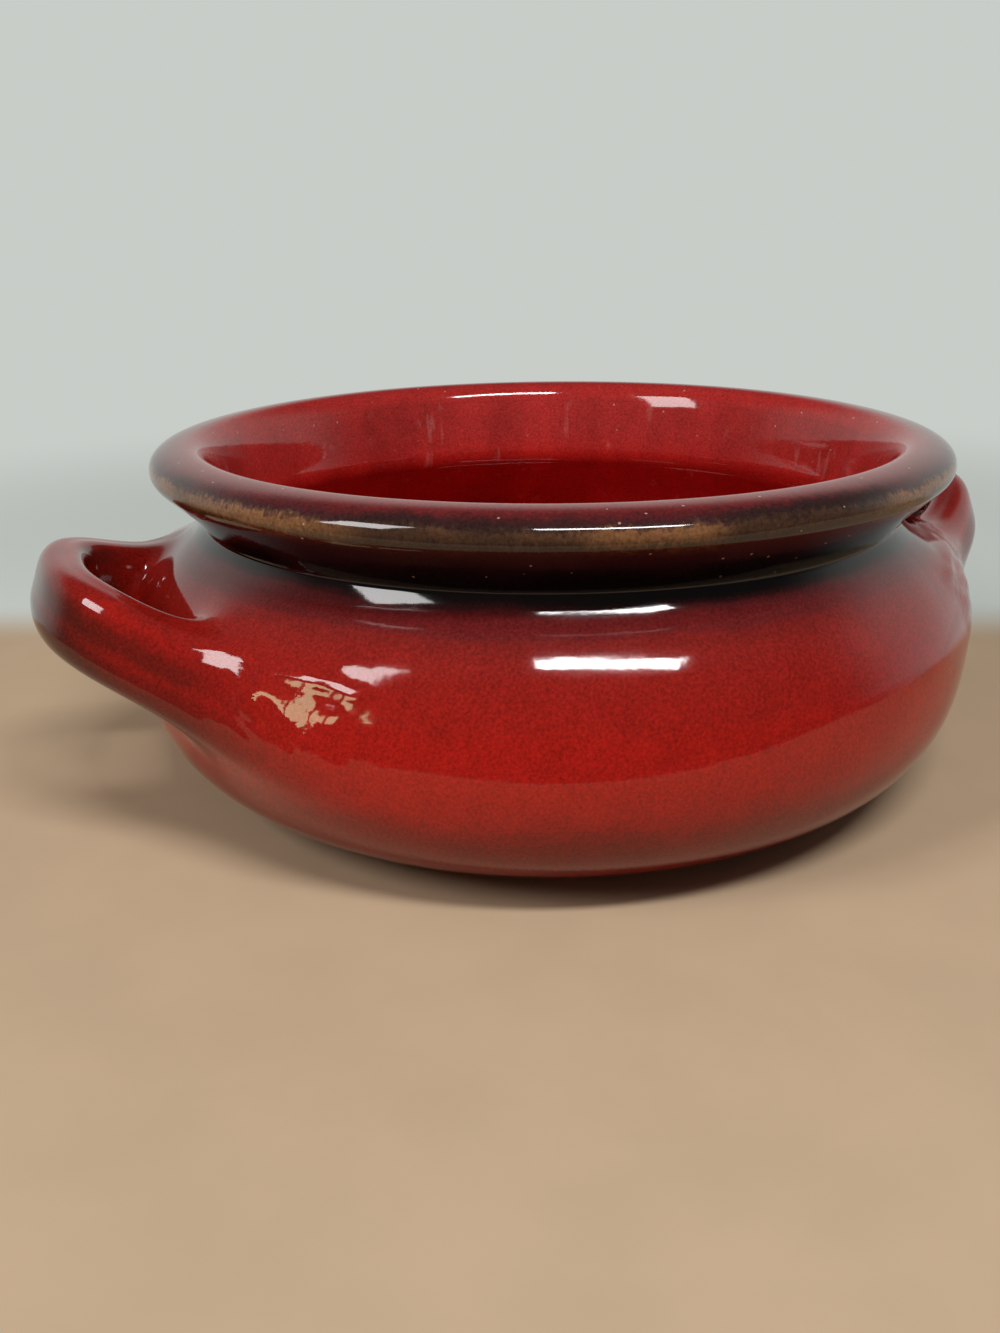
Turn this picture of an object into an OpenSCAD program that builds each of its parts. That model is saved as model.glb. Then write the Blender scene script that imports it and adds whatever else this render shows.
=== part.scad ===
// Glazed earthenware casserole dish: a thrown pot with a rolled rim, two strap handles luted to its
// shoulder, and its coats of glaze. Origin at the middle of the base, handles along X, +Z up.

/* [Pot] */
// Height of the clay from the base to the crown of the rim
dish_h = 77; // [68:0.5:90]
// Diameter of the flat base
base_d = 112; // [90:1:130]
// Widest diameter of the belly
belly_d = 191; // [180:1:215]
// Height of the widest place
belly_h = 31; // [24:0.5:38]
// Roundness of the belly below its widest place
low_fullness = 0.62; // [0.5:0.01:0.7]
// Roundness of the belly above its widest place
high_fullness = 0.48; // [0.35:0.01:0.6]
// Roundness of the belly where it turns into the shoulder
shoulder_fullness = 0.5; // [0.35:0.01:0.65]
// Slope of the shoulder below level, in degrees
shoulder_slope = 43; // [30:1:55]
// Thickness of the wall
wall = 5.5; // [4:0.25:7]
// Thickness of the floor
floor_t = 7; // [5:0.5:10]

/* [Neck and rim] */
// Outer diameter of the rolled rim
rim_d = 179; // [165:1:190]
// Height of the rolled rim
rim_h = 8.3; // [7:0.1:10]
// How far the crown of the rim is set in from its edge
crown_in = 7.75; // [6.5:0.25:9]
// Squareness of the rim's section, where 2 is an oval
rim_squareness = 2.5; // [2:0.1:3.5]
// How far the neck is set in from the edge of the rim
neck_depth = 10; // [8.5:0.25:14]
// Height from the narrowest place of the neck to the underside of the rim
neck_h = 7.9; // [6.5:0.1:10]
// Radius at the narrowest place of the neck
neck_fillet = 1.5; // [1:0.25:3]
// How far below the neck the shoulder starts to turn up, measured level
collar_w = 3; // [2:0.25:4]
// Slope of the shoulder where it has turned up into the neck, in degrees
collar_slope = 62; // [56:1:70]
// How far the neck leans out above its narrowest place, in degrees
neck_lean = 32; // [20:1:38]
// Angle round the rim's section at which the neck runs out under it, in degrees below level
rim_tuck = 30; // [25:1:45]
// How far the narrowest place of the mouth lies below that of the neck
throat_drop = 2.8; // [1:0.1:5]
// Radius of the narrowest place of the mouth
throat_round = 5; // [3:0.25:8]
// How far the mouth leans out above its narrowest place, in degrees
mouth_lean = 18; // [10:1:30]

/* [Handles] */
// How far a handle stands out from the belly
handle_reach = 20.5; // [17:0.5:28]
// Height of the strap
handle_w = 16.7; // [13:0.1:20]
// Thickness of the strap
handle_t = 10; // [7:0.25:12]
// Squareness of the strap's section, where 2 is an oval
strap_squareness = 2.6; // [2:0.1:3.5]
// Height of the strap's middle at the tip of the loop
handle_tip_h = 51; // [44:0.5:56]
// Height of the strap's middle where it joins the belly
handle_root_h = 34.3; // [30:0.1:38]
// Angle from the middle of the loop to where it has come halfway back, in degrees
handle_half = 17.5; // [14:0.5:22]
// Angle from the middle of the loop to the end of its tail, in degrees
handle_tail = 42; // [38:0.5:50]
// How deep the end of the tail is smeared into the wall
handle_sink = 2.5; // [2:0.25:5]
// How far the strap leans in towards the pot, in degrees
handle_lean = 14; // [0:1:20]

/* [Glaze] */
// Thickness of the glaze
glaze_t = 0.5; // [0.3:0.05:0.8]
// Height at which the glaze stops above the bare foot
foot_h = 3; // [2:0.25:6]
// Height of the lower edge of the dark glaze on the shoulder
dark_edge_h = 54; // [50:0.5:56]
// Angle round the rim's section at which the inner glaze stops, in degrees above level
crown_edge = 45; // [20:1:70]
// Angle round the rim's section at which the dark glaze starts, in degrees below level
band_edge = 45; // [20:1:70]

/* [Hidden] */

// Steps along each curve of the pot, round the rim, along a strap and round its section
curve_steps = 14;
arc_steps = 8;
rim_steps = 40;
strap_steps = 36;
section_steps = 20;
$fn = 120;

base_r = base_d / 2;
belly_r = belly_d / 2;
rim_r = rim_d / 2;
neck_r = rim_r - neck_depth;
throat_r = neck_r - wall;
crown_r = rim_r - crown_in;
rim_middle = [crown_r, dish_h - rim_h / 2];
neck_z = dish_h - rim_h - neck_h;
throat_z = neck_z - throat_drop;
shoulder_turn = 90 - shoulder_slope;
collar_turn = 90 - collar_slope;
down_slope = [cos(shoulder_slope), -sin(shoulder_slope)];

// Room past the pot that a cut or a glaze zone runs to
past = 20;
// Extra angle by which the clay strap runs past the glazed one inside the wall, in degrees
tail_past = 2;
// Angle to either side over which a direction is taken, in degrees
direction_step = 0.05;
// Share of the way between its ends over which a bend keeps the direction of each end
bend_pull = 0.3;
// Power of the loop's bell curve, which sets how flat its tip is
loop_power = 4;

function unit(v) = v / norm(v);

// Points of a cubic curve that leaves a towards b and reaches d from c
function curve(a, b, c, d) = [
  for (i = [0:curve_steps])
    let (t = i / curve_steps)
      a * pow(1 - t, 3) + 3 * b * t * pow(1 - t, 2) + 3 * c * pow(t, 2) * (1 - t) + d * pow(t, 3)
];

// Points of a curve that leaves a and reaches d in two directions, after its first point
function bend(a, leaving, d, reaching) =
  let (
    pull = bend_pull * norm(d - a),
    points = curve(a, a + pull * leaving, d - pull * reaching, d)
  )
  [for (i = [1:curve_steps]) points[i]];

// Points of an arc round a middle, between two angles
function arc(middle, r, from, to) = [
  for (i = [0:arc_steps])
    let (angle = from + (to - from) * i / arc_steps)
      middle + r * [cos(angle), sin(angle)]
];

// One coordinate of a squared oval
function squared(x, squareness) = sign(x) * pow(abs(x), 2 / squareness);

function oval_point(half_w, half_h, squareness, angle) =
  [half_w * squared(cos(angle), squareness), half_h * squared(sin(angle), squareness)];

function squared_oval(half_w, half_h, squareness, steps) = [
  for (i = [0:steps - 1])
    oval_point(half_w, half_h, squareness, 360 * i / steps)
];

// Direction of a line of points at one of them, and the line moved to its right by a distance
function heading(line, i) = unit(line[min(i + 1, len(line) - 1)] - line[max(i - 1, 0)]);
function moved_right(line, distance) = [
  for (i = [0:len(line) - 1])
    let (along = heading(line, i))
      line[i] + distance * [along.y, -along.x]
];

// A belly from its floor to its shoulder, for the outside and the inside alike
function belly_curve(low_end, widest, high_end) =
  let (
    low_pull = low_fullness * (widest - low_end),
    high_pull = [0, high_fullness * (high_end.y - widest.y)],
    shoulder_pull = shoulder_fullness * (widest.x - high_end.x) / down_slope.x * down_slope,
    high_points = curve(widest, widest + high_pull, high_end + shoulder_pull, high_end)
  )
  concat(
    curve(low_end, low_end + [low_pull.x, 0], widest - [0, low_pull.y], widest),
    [for (i = [1:curve_steps - 1]) high_points[i]]
  );

// A direction that leans out from upright
function leaning(angle) = [sin(angle), cos(angle)];

// Outside of the pot from the edge of the base up over the neck to where it meets the rim
function rim_point(angle) = rim_middle + oval_point(crown_in, rim_h / 2, rim_squareness, angle);
neck_middle = [neck_r + neck_fillet, neck_z];
neck_points = arc(neck_middle, neck_fillet, 180 + collar_turn, 180 - neck_lean);
shoulder_end = neck_points[0] + collar_w * [1, -tan((shoulder_slope + collar_slope) / 2)];
tuck_heading = unit(rim_point(direction_step - rim_tuck) - rim_point(-direction_step - rim_tuck));
outer_line = concat(
  belly_curve([base_r, 0], [belly_r, belly_h], shoulder_end),
  [shoulder_end],
  bend(shoulder_end, -down_slope, neck_points[0], leaning(-collar_turn)),
  [for (i = [1:arc_steps]) neck_points[i]],
  bend(neck_points[arc_steps], leaning(neck_lean), rim_point(-rim_tuck), tuck_heading)
);

// Inside of the pot from the middle of the floor up through the mouth to the crown of the rim
throat_middle = [throat_r + throat_round, throat_z];
throat_points = arc(throat_middle, throat_round, 180 + shoulder_turn, 180 - mouth_lean);
inner_line = concat(
  [[0, floor_t]],
  belly_curve([base_r, floor_t], [belly_r - wall, belly_h], throat_points[0]),
  throat_points,
  bend(throat_points[arc_steps], leaning(mouth_lean), [crown_r, dish_h], [1, 0])
);

// Half section of the pot as if it were solid, grown by a coat of the given thickness
module solid_section(coat = 0) {
  polygon(concat([[0, 0]], moved_right(outer_line, coat), [rim_middle, [0, rim_middle.y]]));
  translate(rim_middle)
    polygon(squared_oval(crown_in + coat, rim_h / 2 + coat, rim_squareness, rim_steps));
}

// Half section of the space inside, made smaller by a coat of the given thickness
module hollow_section(coat = 0)
  polygon(concat(moved_right(inner_line, -coat), [[crown_r, dish_h + past], [0, dish_h + past]]));

module clay_section()
  difference() {
    solid_section();
    hollow_section();
  }

module coat_section()
  difference() {
    solid_section(glaze_t);
    hollow_section(glaze_t);
    clay_section();
  }

// Zones of the coat: a sector round the rim's middle, and the outside between two heights
function from_rim(angle) = rim_middle + (crown_in + past) * [cos(angle), sin(angle)];
module rim_sector(from, to)
  polygon([rim_middle, from_rim(from), from_rim((from + to) / 2), from_rim(to)]);
module outside_between(low, high)
  difference() {
    translate([0, low])
      square([belly_r + past, high - low]);
    hollow_section();
  }

// A strap from one root over the loop to the other: how far it has come out, its middle and its axes
function loop(angle) = 1 / (1 + pow(angle / handle_half, loop_power));
function strap_middle(angle) =
  let (
    out = loop(angle),
    r = belly_r - handle_t / 2 - handle_sink + (handle_reach + handle_sink) * out
  )
  [r * cos(angle), r * sin(angle), handle_root_h + (handle_tip_h - handle_root_h) * out];
function strap_heading(angle) =
  unit(strap_middle(angle + direction_step) - strap_middle(angle - direction_step));
function strap_lean(angle) =
  [-sin(handle_lean) * cos(angle), -sin(handle_lean) * sin(angle), cos(handle_lean)];
function strap_ring(angle, coat) =
  let (
    middle = strap_middle(angle),
    along = strap_heading(angle),
    across = unit(cross(along, strap_lean(angle))),
    up = cross(across, along)
  )
  [
    for (p = squared_oval(handle_t / 2 + coat, handle_w / 2 + coat, strap_squareness, section_steps))
      middle + p.x * across + p.y * up
  ];

module strap(coat, tail) {
  rings = [for (i = [0:strap_steps]) strap_ring(tail * (2 * i / strap_steps - 1), coat)];
  points = [for (ring = rings) each ring];
  sides = [
    for (i = [0:strap_steps - 1], j = [0:section_steps - 1])
      let (
        a = i * section_steps + j,
        b = i * section_steps + (j + 1) % section_steps
      )
      each [[a, b, a + section_steps], [b, b + section_steps, a + section_steps]]
  ];
  first_end = [for (j = [0:section_steps - 1]) section_steps - 1 - j];
  last_end = [for (j = [0:section_steps - 1]) strap_steps * section_steps + j];
  polyhedron(points, concat(sides, [first_end, last_end]));
}

module clay_strap(turn)
  rotate(turn)
    strap(0, handle_tail + tail_past);

module coated_pot()
  rotate_extrude()
    solid_section(glaze_t);

module handle(turn)
  difference() {
    clay_strap(turn);
    rotate_extrude()
      solid_section();
  }

module handle_glaze(turn)
  difference() {
    rotate(turn)
      strap(glaze_t, handle_tail);
    clay_strap(turn);
    coated_pot();
  }

right_turn = 0;
left_turn = 180;

module clay_body()
  color("sienna")
    rotate_extrude()
      clay_section();

module left_handle()
  color("sienna")
    handle(left_turn);

module right_handle()
  color("sienna")
    handle(right_turn);

module inner_glaze()
  color("firebrick")
    rotate_extrude()
      intersection() {
        coat_section();
        union() {
          hollow_section();
          rim_sector(crown_edge, 180);
        }
      }

module rim_glaze()
  color("saddlebrown")
    rotate_extrude()
      intersection() {
        coat_section();
        rim_sector(-band_edge, crown_edge);
      }

module outside_glaze(low, high)
  difference() {
    rotate_extrude()
      difference() {
        intersection() {
          coat_section();
          outside_between(low, high);
        }
        rim_sector(-band_edge, 180);
      }
    clay_strap(left_turn);
    clay_strap(right_turn);
  }

module neck_glaze()
  color([0.12, 0.05, 0.05])
    outside_glaze(dark_edge_h, dish_h);

module belly_glaze()
  color("darkred")
    outside_glaze(foot_h, dark_edge_h);

module left_handle_glaze()
  color("darkred")
    handle_glaze(left_turn);

module right_handle_glaze()
  color("darkred")
    handle_glaze(right_turn);

clay_body();
left_handle();
right_handle();
inner_glaze();
rim_glaze();
neck_glaze();
belly_glaze();
left_handle_glaze();
right_handle_glaze();
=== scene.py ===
import bpy
import numpy as np
from mathutils import Matrix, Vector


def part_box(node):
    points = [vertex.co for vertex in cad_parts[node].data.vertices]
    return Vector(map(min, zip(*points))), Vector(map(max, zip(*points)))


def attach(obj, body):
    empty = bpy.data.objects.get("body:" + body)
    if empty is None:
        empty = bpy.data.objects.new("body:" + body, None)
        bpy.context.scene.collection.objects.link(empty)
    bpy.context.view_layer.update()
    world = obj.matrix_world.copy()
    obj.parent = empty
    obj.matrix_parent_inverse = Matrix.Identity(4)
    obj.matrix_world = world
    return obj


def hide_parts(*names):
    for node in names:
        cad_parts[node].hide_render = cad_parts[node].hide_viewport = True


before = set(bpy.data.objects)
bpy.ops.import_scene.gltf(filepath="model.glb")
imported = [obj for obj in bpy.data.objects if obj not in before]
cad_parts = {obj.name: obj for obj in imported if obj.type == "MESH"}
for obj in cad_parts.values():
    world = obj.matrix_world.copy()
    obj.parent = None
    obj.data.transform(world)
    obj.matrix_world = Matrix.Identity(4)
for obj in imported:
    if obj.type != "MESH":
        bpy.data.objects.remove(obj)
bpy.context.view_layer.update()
mm = 0.001  # shapes are worked out in millimetres and put into the meshes in metres
print("frame loaded:", len(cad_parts), "nodes")

# sizes of the thrown clay in millimetres and degrees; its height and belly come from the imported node
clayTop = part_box("clay_body")[1]
pot = {
    "height": clayTop.z / mm,
    "bellyRadius": clayTop.x / mm,
    "baseRadius": 56.0,
    "bellyHeight": 31.0,
    "lowFullness": 0.62,
    "highFullness": 0.48,
    "shoulderFullness": 0.5,
    "shoulderSlope": 43.0,
    "wall": 5.5,
    "floor": 7.0,
    "rimRadius": 89.5,
    "rimHeight": 8.3,
    "crownIn": 7.75,
    "rimSquareness": 2.15,
    "neckDepth": 10.0,
    "neckHeight": 7.9,
    "neckFillet": 1.5,
    "collarWide": 3.0,
    "collarSlope": 62.0,
    "neckLean": 32.0,
    "rimTuck": 30.0,
    "throatDrop": 2.8,
    "throatRound": 5.0,
    "mouthLean": 18.0,
    "coat": 0.5,
}


# a vector over its own length
def unit(v):
    return v / np.maximum(np.linalg.norm(v, axis=-1, keepdims=True), 1e-9)


# points of a cubic curve that leaves a towards b and reaches d from c
def cubicCurve(a, b, c, d, count=160):
    t = np.linspace(0, 1, count)[:, None]
    a, b, c, d = (np.array(p, float) for p in (a, b, c, d))
    return (1 - t) ** 3 * a + 3 * (1 - t) ** 2 * t * b + 3 * (1 - t) * t ** 2 * c + t ** 3 * d


# a cubic curve that leaves a and reaches d in two directions, each kept for a share of the way
def bend(a, leaving, d, reaching, share=0.3):
    a, leaving, d, reaching = (np.array(p, float) for p in (a, leaving, d, reaching))
    pull = share * np.linalg.norm(d - a)
    return cubicCurve(a, a + pull * leaving, d - pull * reaching, d)


# a direction that leans out from upright
def leaning(degrees):
    return np.array([np.sin(np.radians(degrees)), np.cos(np.radians(degrees))])


# points of an arc: middle plus radius times (cosine, sine) of the angle
def arcPoints(middle, radius, start, end, count=60):
    angle = np.radians(np.linspace(start, end, count))
    return np.array(middle) + radius * np.stack([np.cos(angle), np.sin(angle)], -1)


# a squared oval: each coordinate is its half size times the cosine or sine, to the power of 2 / squareness
def squaredOval(angle, halfWide, halfHigh, squareness):
    c, s = np.cos(angle), np.sin(angle)
    power = 2 / squareness
    return np.stack([halfWide * np.sign(c) * np.abs(c) ** power,
                     halfHigh * np.sign(s) * np.abs(s) ** power], -1)


# a belly: one cubic from the floor to the widest place, one from there to the shoulder
def bellyCurve(low, widest, high):
    low, widest, high = (np.array(p, float) for p in (low, widest, high))
    slope = np.radians(pot["shoulderSlope"])
    lowPull = pot["lowFullness"] * (widest - low)
    highPull = np.array([0, pot["highFullness"] * (high[1] - widest[1])])
    shoulderPull = pot["shoulderFullness"] * (widest[0] - high[0]) * np.array([1, -np.tan(slope)])
    return np.concatenate([
        cubicCurve(low, low + [lowPull[0], 0], widest - [0, lowPull[1]], widest)[:-1],
        cubicCurve(widest, widest + highPull, high + shoulderPull, high)[:-1],
    ])


# outline of the clay in (radius, height): base, belly, collar, neck, round the rim, mouth, inside and floor
def clayOutline():
    neckRadius = pot["rimRadius"] - pot["neckDepth"]
    throatRadius = neckRadius - pot["wall"]
    neckLow = pot["height"] - pot["rimHeight"] - pot["neckHeight"]
    turn = 90 - pot["shoulderSlope"]
    collarTurn = 90 - pot["collarSlope"]
    rimMiddle = np.array([pot["rimRadius"] - pot["crownIn"], pot["height"] - pot["rimHeight"] / 2])
    rim = rimMiddle + squaredOval(np.radians(np.linspace(-pot["rimTuck"], 90, 400)), pot["crownIn"],
                                  pot["rimHeight"] / 2, pot["rimSquareness"])
    neckArc = arcPoints([neckRadius + pot["neckFillet"], neckLow], pot["neckFillet"],
                        180 + collarTurn, 180 - pot["neckLean"])
    collarRise = np.tan(np.radians((pot["shoulderSlope"] + pot["collarSlope"]) / 2))
    shoulderEnd = neckArc[0] + pot["collarWide"] * np.array([1, -collarRise])
    collar = bend(shoulderEnd, leaning(-turn), neckArc[0], leaning(-collarTurn))
    neck = bend(neckArc[-1], leaning(pot["neckLean"]), rim[0], unit(rim[1] - rim[0]))
    throatArc = arcPoints([throatRadius + pot["throatRound"], neckLow - pot["throatDrop"]],
                          pot["throatRound"], 180 - pot["mouthLean"], 180 + turn)
    mouth = bend(throatArc[0], leaning(pot["mouthLean"]), rim[-1], [1, 0])[::-1]
    inside = bellyCurve([pot["baseRadius"], pot["floor"]],
                        [pot["bellyRadius"] - pot["wall"], pot["bellyHeight"]], throatArc[-1])[::-1]
    outside = bellyCurve([pot["baseRadius"], 0], [pot["bellyRadius"], pot["bellyHeight"]], shoulderEnd)
    line = np.concatenate([[[0, 0]], outside, collar, neckArc, neck, rim, mouth, throatArc, inside,
                           [[0, pot["floor"]]]])
    return line, rimMiddle


# the outline again at even steps of its length, with the direction that faces out of the clay
rawLine, rimMiddle = clayOutline()
rawLine = rawLine[np.append(True, np.linalg.norm(np.diff(rawLine, axis=0), axis=1) > 1e-6)]
rawLength = np.append(0, np.cumsum(np.linalg.norm(np.diff(rawLine, axis=0), axis=1)))
lineStep = 0.1
lineLength = np.arange(0, rawLength[-1], lineStep)
clayLine = np.stack([np.interp(lineLength, rawLength, rawLine[:, k]) for k in range(2)], -1)
lineAlong = np.gradient(clayLine, axis=0)
lineAlong /= np.linalg.norm(lineAlong, axis=1, keepdims=True)
lineOut = np.stack([lineAlong[:, 1], -lineAlong[:, 0]], -1)
crown = int(np.argmax(clayLine[:, 1]))  # the outline runs up the outside to here


# length along the outside of the outline at which it first reaches a height
def outsideAt(height):
    return lineLength[:crown][np.argmax(clayLine[:crown, 1] >= height)]


# length at which the outline round the rim passes an angle about the rim's middle
def rimAt(degrees):
    spoke = clayLine - rimMiddle
    angle = np.degrees(np.arctan2(spoke[:, 1], spoke[:, 0]))
    onRim = clayLine[:, 1] > pot["height"] - 2 * pot["rimHeight"]
    near = np.where(onRim & (np.abs(angle - degrees) < 3))[0]
    return lineLength[near[np.argmin(np.abs(angle[near] - degrees))]]


# a soft step from 0 to 1: t squared times (3 - 2 t), with t the share of the way from low to high
def smoothStep(value, low, high):
    t = np.clip((value - low) / (high - low), 0, 1)
    return t * t * (3 - 2 * t)


# direction out of a grid: the step round it crossed with the step along it
def gridNormals(grid):
    around = np.roll(grid, -1, axis=1) - np.roll(grid, 1, axis=1)
    along = np.gradient(grid, axis=0, edge_order=2)
    return unit(np.cross(around, along))


# a mesh from a grid of rows and columns, closed round the columns, and along the rows where loop is set;
# a pole row is drawn together into one point
def surfaceMesh(name, grid, normals, loop=False, poleRows=()):
    rows, columns = grid.shape[:2]
    index = np.arange(rows * columns).reshape(rows, columns)
    for row in poleRows:
        index[row] = index[row, 0]
    below = index if loop else index[:-1]
    above = np.roll(index, -1, axis=0) if loop else index[1:]
    quads = np.stack([below, np.roll(below, -1, 1), np.roll(above, -1, 1), above], -1).reshape(-1, 4)
    lowPole = quads[:, 0] == quads[:, 1]
    highPole = quads[:, 2] == quads[:, 3]
    plain = quads[~lowPole & ~highPole]
    fans = np.concatenate([quads[lowPole & ~highPole][:, 1:], quads[highPole & ~lowPole][:, :3]])
    used = np.unique(np.concatenate([plain.ravel(), fans.ravel()]))
    place = np.zeros(rows * columns, int)
    place[used] = np.arange(len(used))
    mesh = bpy.data.meshes.new(name)
    mesh.from_pydata(grid.reshape(-1, 3)[used] * mm, [], place[plain].tolist() + place[fans].tolist())
    mesh.polygons.foreach_set("use_smooth", np.ones(len(mesh.polygons), bool))
    mesh.update()
    mesh.normals_split_custom_set_from_vertices(normals.reshape(-1, 3)[used])
    piece = bpy.data.objects.new(name, mesh)
    bpy.context.scene.collection.objects.link(piece)
    return piece


# a thin closed coat: the outer grid, then every fourth row of the inner one back again
def coatMesh(name, outer, outerNormals, inner, poleRows=()):
    rows = len(outer)
    back = np.linspace(rows - 1, 0, rows // 4).astype(int)
    grid = np.concatenate([outer, inner[back]])
    normals = np.concatenate([outerNormals, -outerNormals[back]])
    return surfaceMesh(name, grid, normals, loop=True, poleRows=poleRows)


# each handle: a strap along a bell-shaped loop, with its own rise at its two roots; the first is the right
# handle's near root and the left one's far root
handle = {
    "reach": 20.3,
    "thick": 11.0,
    "wide": 17.7,
    "squareness": 2.5,
    "facet": 0.2,
    "facets": 5,
    "tipHeight": 51.0,
    "rootHeight": 34.3,
    "half": 17.5,
    "loopPower": 4,
    "sink": 2.5,
    "lean": 14.0,
    "pathEnd": 60.0,
    "shownEnd": 46.0,
    "tailFrom": 33.0,
    "tailTo": 52.0,
    "tailSink": 13.0,
    "blend": 16.0,
    "dive": 0.5,
    "diveSpan": 2.5,
    "fadeSpan": (3.0, 9.0),
    "deepest": -3.0,
    "coreGap": 0.05,
    "rise": {"left": (4.0, 0.0), "right": (4.5, 0.0)},
    "zoneLow": 8.0,
    "zoneHigh": 66.0,
}
turns = {"right": 1.0, "left": -1.0}  # the left handle is the right one turned half round


# middle line of a strap: out and up by the bell 1 / (1 + (angle / half) to a power), sinking at its tails
def strapPath(side):
    angle = np.linspace(-handle["pathEnd"], handle["pathEnd"], 961)
    bell = 1 / (1 + np.abs(angle / handle["half"]) ** handle["loopPower"])
    bodyRadius = pot["bellyRadius"] + pot["coat"]
    radius = bodyRadius - handle["thick"] / 2 - handle["sink"] + (handle["reach"] + handle["sink"]) * bell
    radius = radius - handle["tailSink"] * smoothStep(np.abs(angle), handle["tailFrom"], handle["tailTo"])
    firstRise, secondRise = handle["rise"][side]
    rise = np.where(angle < 0, firstRise, secondRise) * (1 - bell)
    height = handle["rootHeight"] + (handle["tipHeight"] - handle["rootHeight"]) * bell + rise
    turn = np.radians(angle)
    middle = np.stack([radius * np.cos(turn), radius * np.sin(turn), height], -1)
    along = unit(np.gradient(middle, axis=0))
    lean = np.radians(handle["lean"])
    upright = np.stack([-np.sin(lean) * np.cos(turn), -np.sin(lean) * np.sin(turn),
                        np.full_like(turn, np.cos(lean))], -1)
    across = unit(np.cross(along, upright))
    step = np.linalg.norm(np.gradient(middle, axis=0), axis=1)
    return {"angle": angle, "middle": middle, "along": along, "across": across,
            "up": np.cross(across, along), "step": step}


paths = {side: strapPath(side) for side in turns}


# rows at places between them, by share of the two neighbours
def between(rows, place):
    low = np.clip(np.floor(place).astype(int), 0, len(rows) - 2)
    share = (place - low).reshape((-1,) + (1,) * (rows.ndim - 1))
    return rows[low] * (1 - share) + rows[low + 1] * share


# place along a line of points that lies nearest, first by trying every eighth, then by steps along it
def nearestPlace(points, middle, along, step, guess=None):
    if guess is None:
        coarse = middle[::8]
        guess = np.concatenate([
            8.0 * np.argmin(((part[:, None] - coarse[None]) ** 2).sum(-1), axis=1)
            for part in np.array_split(points, max(1, len(points) // 4000))])
    place = guess
    for _ in range(4):
        offset = points - between(middle, place)
        ahead = (offset * between(along, place)).sum(-1) / between(step, place)
        place = np.clip(place + np.clip(ahead, -12, 12), 0, len(middle) - 1.001)
    return place


# distance out of a strap: its squared-oval measure less one, over the steepness of that measure, less the
# shallow lengthwise facets that pulling leaves, a cosine round the section that drifts along it
def strapDistance(points, path, guess):
    place = nearestPlace(points, path["middle"], path["along"], path["step"], guess)
    offset = points - between(path["middle"], place)
    u = (offset * between(path["across"], place)).sum(-1) / (handle["thick"] / 2)
    v = (offset * between(path["up"], place)).sum(-1) / (handle["wide"] / 2)
    facets = handle["facet"] * np.cos(handle["facets"] * np.arctan2(v, u) + 0.004 * place)
    u, v = np.abs(u) + 1e-6, np.abs(v) + 1e-6
    n = handle["squareness"]
    measure = (u ** n + v ** n) ** (1 / n)
    steepness = np.hypot(u ** (n - 1) / (handle["thick"] / 2), v ** (n - 1) / (handle["wide"] / 2)) \
        * measure ** (1 - n)
    return (measure - 1) / steepness - facets


# clay smeared over the roots: a low pad with finger dents, from slanted sine waves, and the strap's upper
# edge running out over the belly as a thin bell-shaped ridge, in the handle's own frame
smear = {
    "pad": 0.1, "lump": 0.10, "from": (20.0, 27.0), "to": (41.0, 49.0), "height": 39.5, "spread": 7.5,
    "ridge": 0.42, "ridgeWide": 1.5, "ridgeStart": (23.4, 49.1), "ridgeFall": 0.189,
    "ridgeFrom": (20.0, 25.0), "ridgeTo": (42.0, 49.0),
}


def smearHeight(points, side):
    x, y, z = points.T
    firstRise, secondRise = handle["rise"][side]
    z = z - np.where(y < 0, firstRise, secondRise)
    angle = np.degrees(np.abs(np.arctan2(y, x)))
    mask = smoothStep(angle, *smear["from"]) * (1 - smoothStep(angle, *smear["to"])) \
        * np.exp(-((z - smear["height"]) / smear["spread"]) ** 2)
    fineLumps = np.sin(1.3 * x - 0.9 * z + 1.1 * np.sin(0.5 * y)) \
        * np.sin(0.8 * y + 1.2 * z + np.sin(0.7 * x))
    lumps = np.sin(0.45 * x + 0.35 * z + 0.4) + np.sin(0.42 * y - 0.5 * z + 1.9) \
        + np.sin(0.5 * x - 0.45 * y + 0.46 * z) + 0.6 * np.sin(0.9 * y + 0.85 * z - 0.7) + 0.25 * fineLumps
    ridgeAngle, ridgeHeight = smear["ridgeStart"]
    offRidge = z - ridgeHeight + smear["ridgeFall"] * (angle - ridgeAngle) - 0.3 * np.sin(0.55 * angle)
    ridge = smear["ridge"] * np.exp(-(offRidge / smear["ridgeWide"]) ** 2) \
        * smoothStep(angle, *smear["ridgeFrom"]) * (1 - smoothStep(angle, *smear["ridgeTo"]))
    return mask * (smear["pad"] + smear["lump"] * lumps) + ridge


# unevenness of hand throwing: slow waves round and up the pot, always a little inwards
throwing = {"wave": 0.12}


def throwingHeight(points):
    turn = np.arctan2(points[..., 1], points[..., 0])
    z = points[..., 2]
    waves = np.sin(2 * turn + 0.7) + 0.6 * np.sin(3 * turn + z / 14) + 0.5 * np.sin(5 * turn - z / 9 + 2)
    return throwing["wave"] * (waves / 2.1 - 1)


# distance out of the glazed pot: the offset from the nearest place of the outline, along its outward side,
# less the unevenness of its throwing
outsideLine, outsideAlong, outsideOut = (a[:crown] for a in (clayLine, lineAlong, lineOut))
outsideStep = np.full(crown, lineStep)


# radius and height of points
def flattened(points):
    return np.stack([np.hypot(points[:, 0], points[:, 1]), points[:, 2]], -1)


def potDistance(points, guess):
    flat = flattened(points)
    place = nearestPlace(flat, outsideLine, outsideAlong, outsideStep, guess)
    offset = ((flat - between(outsideLine, place)) * between(outsideOut, place)).sum(-1)
    return offset - pot["coat"] - throwingHeight(points)


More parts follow.
